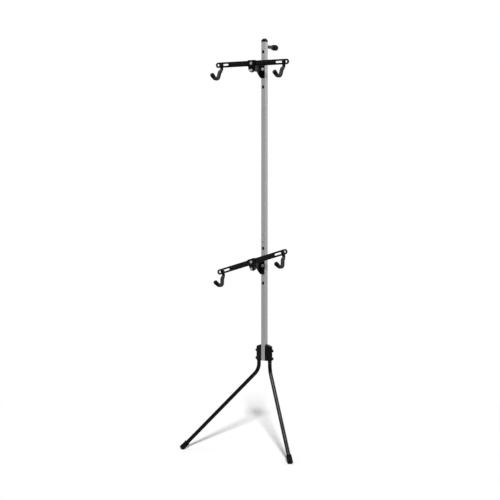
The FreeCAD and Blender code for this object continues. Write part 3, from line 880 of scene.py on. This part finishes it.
def foot_outline(foot):
    """From the sole's middle up the outside, over the rim and down the bore, as (radius, height)."""
    sole = arc_points((foot.radius - foot.edge_radius, foot.edge_radius), foot.edge_radius, -90, 0)
    rim = arc_points((foot.radius - foot.lip_radius, foot.length - foot.lip_radius), foot.lip_radius, 0, 90)
    inside = [(foot.bore, foot.length), (foot.bore, foot.sole), (0.0, foot.sole)]
    return [(0.0, 0.0), *sole, *rib_points(foot), *rim, *inside]


def lathed(outline, sides):
    """Turn an outline that starts and ends on the axis into a closed shape."""
    shape = bmesh.new()
    rings = []
    for radius, height in outline:
        turns = [math.tau * side / sides for side in range(sides)] if radius else [0.0]
        rings.append([shape.verts.new((radius * math.cos(t), radius * math.sin(t), height)) for t in turns])
    for low, high in zip(rings, rings[1:]):
        for side in range(sides):
            after = (side + 1) % sides
            below = [low[side % len(low)], low[after % len(low)]]
            above = [high[after % len(high)], high[side % len(high)]]
            shape.faces.new(list(dict.fromkeys(below + above)))
    return shape


def pressed_flat(shape):
    """Cut a shape off at the floor and close the cut."""
    everything = [*shape.verts, *shape.edges, *shape.faces]
    cut = bmesh.ops.bisect_plane(shape, geom=everything, plane_co=(0, 0, 0), plane_no=(0, 0, 1),
                                 clear_inner=True)
    rim = [item for item in cut["geom_cut"] if isinstance(item, bmesh.types.BMEdge)]
    bmesh.ops.edgeloop_fill(shape, edges=rim)
    bmesh.ops.recalc_face_normals(shape, faces=shape.faces[:])


def foot_place(foot, side):
    """The foot's own frame: its axis up the leg, from where that axis leaves the sole."""
    mirror = Vector((side, 1, 1))
    corner = LEG_CORNER * mirror + POST_AXIS
    heading = (FOOT_POINT * mirror + POST_AXIS - corner).normalized()
    fall = -heading.z
    level = math.sqrt(1 - fall * fall)
    ring = foot.radius - foot.edge_radius
    height = ring * level + foot.edge_radius * (1 - fall) - foot.flat_depth
    end = corner + heading * ((corner.z - height) / fall)
    return Matrix.Translation(end) @ (-heading).to_track_quat("Z", "Y").to_matrix().to_4x4()


def closed_mesh(shape, name):
    """Turn a finished shape into a mesh that is smooth except at its sharp edges."""
    mesh = bpy.data.meshes.new(name)
    shape.to_mesh(mesh)
    shape.free()
    mesh.shade_smooth()
    mesh.set_sharp_from_angle(angle=SHARP_ANGLE)
    return mesh


class RACK_OT_feet(bpy.types.Operator):
    """Turn the ribbed rubber feet."""

    bl_idname = "rack.feet"
    bl_label = "Make the feet"

    def execute(self, context):
        foot = context.scene.rack_feet
        for hand, side in zip(HANDS, (-1, 1)):
            shape = lathed(foot_outline(foot), foot.sides)
            shape.transform(foot_place(foot, side))
            pressed_flat(shape)
            name = f"{hand}_ribbed_foot"
            mesh = closed_mesh(shape, name)
            mesh.materials.append(finish_of("black_rubber"))
            joined(add_piece(name, mesh), STAND, "black_rubber", f"{hand}_foot")
        return {"FINISHED"}


# Rounded edges on moulded and sheet pieces

MERGE_DISTANCE = 0.000002
BOLT_RIM = 0.006
FLAT_ANGLE = math.radians(0.5)
ROUND_STEPS = 3


def at_bolt(edge, bolts):
    """Whether an edge belongs to the rim of a hole for one of these bolts, which run along X."""
    middle = (edge.verts[0].co + edge.verts[1].co) / 2
    return any((middle - bolt).yz.length < BOLT_RIM for bolt in bolts)


def softened(node, radius, bolts):
    """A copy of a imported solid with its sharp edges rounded, except at bolt holes."""
    shape = bmesh.new()
    shape.from_mesh(frame["nodes"][node].data)
    bmesh.ops.remove_doubles(shape, verts=shape.verts[:], dist=MERGE_DISTANCE)
    bmesh.ops.dissolve_limit(shape, angle_limit=FLAT_ANGLE, verts=shape.verts[:], edges=shape.edges[:])
    bmesh.ops.recalc_face_normals(shape, faces=shape.faces[:])
    sharp = [edge for edge in shape.edges if edge.calc_face_angle(0.0) > SHARP_ANGLE]
    chosen = [edge for edge in sharp if not at_bolt(edge, bolts)]
    bmesh.ops.bevel(shape, geom=chosen, offset=radius, segments=ROUND_STEPS, profile=0.5, affect="EDGES")
    name = node + "_softened"
    piece = add_piece(name, closed_mesh(shape, name))
    flat_faces = piece.modifiers.new("flat_faces", "WEIGHTED_NORMAL")
    flat_faces.keep_sharp = True
    return kept(piece)


class RACK_OT_edges(bpy.types.Operator):
    """Round the edges of the leg sockets, bars, brackets and tilt plates."""

    bl_idname = "rack.edges"
    bl_label = "Round the edges"

    def execute(self, context):
        rounding = context.scene.rack_edges
        bolts = [(low + high) / 2 for low, high in solids_of("leg_nuts")]
        wanted = {f"{hand}_leg_socket": (rounding.moulded, bolts) for hand in HANDS}
        for arm in ARMS:
            for plate in ("crossbar", "arm_bracket", "tilt_plate"):
                wanted[f"{arm}_{plate}"] = (rounding.sheet, [])
        for node, (radius, kept_sharp) in wanted.items():
            piece = softened(node, radius, kept_sharp)
            slot = SLOT_OF_NODE[node]
            piece.data.materials.append(finish_of(slot))
            joined(piece, body_of(frame["nodes"][node])[0], slot, node)
        return {"FINISHED"}


# Stage

CAMERA_PLACE = (4.3018, -6.0632, 1.395)
CAMERA_PITCH = 2.8135
CAMERA_YAW = 35.565
CAMERA_LENS = 105.48
SENSOR_WIDTH = 36.0
FLOOR_BELOW = 0.0004

# How far from its middle the floor starts to turn plain white, and where it is plain white
FADE_START = 1.3
FADE_END = 2.2

# How far behind the rack a reflection finds the floor, and then the room, plain white
MIRROR_FADE = 1.5
ROOM_START = -0.15
ROOM_FULL = 0.3

# Each light's azimuth and elevation in degrees, its distance, and the height on the post that it aims at
KEY_LIGHT = {"azimuth": 37, "elevation": 22.5, "distance": 7.0, "aim": 1.0}
SIDE_LAMP = {"azimuth": 108, "elevation": 35, "distance": 1.7, "aim": 1.9}
SIDE_LAMP_SIDE = 1.0
TOP_LAMP = {"azimuth": -16, "elevation": 75, "distance": 4.2, "aim": 1.0}
TOP_LAMP_SIDE = 1.2


def ray_kinds(tree):
    """1 for what is seen straight on or through glass, and 1 for what is seen in a reflection."""
    path = tree.add("ShaderNodeLightPath")
    rays = ("Is Camera Ray", "Is Transmission Ray", "Is Glossy Ray")
    camera, through, glossy = tree.outputs_of(path, rays)
    return camera.at_least(through), glossy


def behind_rack(tree):
    """How far a place or a direction leads away from the camera, past the rack."""
    turn = math.radians(CAMERA_YAW)
    behind = (-math.sin(turn), math.cos(turn), 0.0)
    sockets = {0: tree.place, 1: behind}
    return tree.add("ShaderNodeVectorMath", {"operation": "DOT_PRODUCT"}, sockets, "Value")


def white_world(stage):
    """Plain white as it is seen. Reflections find it white behind the rack and dim on the camera's side."""
    world = bpy.data.worlds.new("white_room")
    bpy.context.scene.world = world
    tree = Finish(world)
    behind = tree.ramp(behind_rack(tree), ROOM_START, ROOM_FULL)
    backdrop = stage.room_dim + behind * (1 - stage.room_dim)
    straight, glossy = ray_kinds(tree)
    strength = stage.ambient + straight * (1 - stage.ambient) + glossy * (backdrop - stage.ambient)
    shown = tree.add("ShaderNodeBackground", None, {"Color": (1, 1, 1, 1), "Strength": strength})
    tree.add("ShaderNodeOutputWorld", None, {"Surface": shown})


def pale_floor(stage):
    """A white floor that keeps the rack's shadow and is plain white further off.

    A reflection finds it plain white only behind the rack.
    """
    paint = Finish(new_material("pale_floor"))
    straight, glossy = ray_kinds(paint)
    colour = paint.mix(straight, opaque([stage.floor_white] * 3), opaque([stage.floor_shown] * 3))
    lit = paint.add("ShaderNodeBsdfDiffuse", None, {"Color": colour})
    white = paint.add("ShaderNodeEmission", None, {"Color": (1, 1, 1, 1), "Strength": 1.0})
    distance = paint.add("ShaderNodeVectorMath", {"operation": "LENGTH"}, {0: paint.place}, "Value")
    far = paint.ramp(distance, FADE_START, FADE_END)
    mirrored = glossy * paint.ramp(behind_rack(paint), 0.0, MIRROR_FADE)
    share = straight.at_least(mirrored) * far
    surface = paint.add("ShaderNodeMixShader", None, {0: share, 1: lit, 2: white})
    paint.add("ShaderNodeOutputMaterial", None, {"Surface": surface})
    return paint.owner


def add_floor(stage):
    half = stage.floor_size / 2
    corners = [(x * half, y * half, -FLOOR_BELOW) for x, y in ((-1, -1), (1, -1), (1, 1), (-1, 1))]
    mesh = bpy.data.meshes.new("floor")
    mesh.from_pydata(corners, [], [(0, 1, 2, 3)])
    mesh.materials.append(pale_floor(stage))
    floor = add_piece("floor", mesh)
    return floor


def add_light(name, kind, place, glare):
    """A light aimed at the post's axis, with or without a reflection of itself."""
    holder = bpy.data.objects.new(name, bpy.data.lights.new(name, kind))
    bpy.context.scene.collection.objects.link(holder)
    turn = math.radians(place["azimuth"])
    rise = math.radians(place["elevation"])
    back = Vector((math.sin(turn) * math.cos(rise), -math.cos(turn) * math.cos(rise), math.sin(rise)))
    holder.location = POST_AXIS + Vector((0, 0, place["aim"])) + back * place["distance"]
    holder.rotation_euler = (-back).to_track_quat("-Z", "Y").to_euler()
    holder.visible_glossy = glare
    return holder


def add_key(stage):
    """The key light: even over the whole floor, so that only the rack's shadow shows on it."""
    holder = add_light("key_light", "SUN", KEY_LIGHT, False)
    holder.data.energy = stage.key_light
    holder.data.angle = stage.key_spread


def add_lamp(name, place, side, power, floor, glare):
    """A square soft lamp that lights the rack but not the floor."""
    holder = add_light(name, "AREA", place, glare)
    holder.data.shape = "SQUARE"
    holder.data.size = side
    holder.data.energy = power
    unlit = bpy.data.collections.new(name + "_unlit")
    unlit.objects.link(floor)
    unlit.collection_objects[0].light_linking.link_state = "EXCLUDE"
    holder.light_linking.receiver_collection = unlit


def add_camera():
    camera = bpy.data.objects.new("camera", bpy.data.cameras.new("camera"))
    bpy.context.scene.collection.objects.link(camera)
    camera.location = CAMERA_PLACE
    camera.rotation_euler = (math.radians(90 - CAMERA_PITCH), 0, math.radians(CAMERA_YAW))
    camera.data.lens = CAMERA_LENS
    camera.data.sensor_width = SENSOR_WIDTH
    bpy.context.scene.camera = camera


class RACK_OT_stage(bpy.types.Operator):
    """Set the floor, the light and the camera."""

    bl_idname = "rack.stage"
    bl_label = "Set the stage"

    def execute(self, context):
        stage = context.scene.rack_stage
        context.scene.view_settings.view_transform = "Standard"
        floor = add_floor(stage)
        white_world(stage)
        add_key(stage)
        add_lamp("side_lamp", SIDE_LAMP, SIDE_LAMP_SIDE, stage.side_power, floor, False)
        add_lamp("top_lamp", TOP_LAMP, TOP_LAMP_SIDE, stage.top_power, floor, True)
        add_camera()
        return {"FINISHED"}


class RACK_PT_panel(bpy.types.Panel):
    """The rack's sizes, colours and steps."""

    bl_idname = "RACK_PT_panel"
    bl_label = "Bike rack"
    bl_space_type = "VIEW_3D"
    bl_region_type = "UI"
    bl_category = "Bike rack"

    def draw(self, context):
        for name in SETTINGS:
            settings = getattr(context.scene, name)
            box = self.layout.box()
            for field in settings.__annotations__:
                box.prop(settings, field)
        for operator in OPERATORS:
            self.layout.operator(operator.bl_idname)


SETTINGS = {
    "rack_stage": RackStageSettings,
    "rack_finishes": RackFinishSettings,
    "rack_hooks": RackHookSettings,
    "rack_threads": RackThreadSettings,
    "rack_feet": RackFootSettings,
    "rack_edges": RackEdgeSettings,
    "rack_welds": RackWeldSettings,
}
OPERATORS = (
    RACK_OT_stage,
    RACK_OT_finishes,
    RACK_OT_edges,
    RACK_OT_feet,
    RACK_OT_hook_coats,
    RACK_OT_welds,
    RACK_OT_threads,
)
CLASSES = (*SETTINGS.values(), *OPERATORS, RACK_PT_panel)


def register():
    for each in CLASSES:
        bpy.utils.register_class(each)
    for name, group in SETTINGS.items():
        setattr(bpy.types.Scene, name, PointerProperty(type=group))


def unregister():
    for name in SETTINGS:
        delattr(bpy.types.Scene, name)
    for each in reversed(CLASSES):
        bpy.utils.unregister_class(each)


def main():
    register()
    bpy.ops.rack.stage()
    bpy.ops.rack.finishes()
    bpy.ops.rack.edges()
    bpy.ops.rack.feet()
    bpy.ops.rack.hook_coats()
    bpy.ops.rack.welds()
    bpy.ops.rack.threads()


if __name__ == "__main__":
    main()
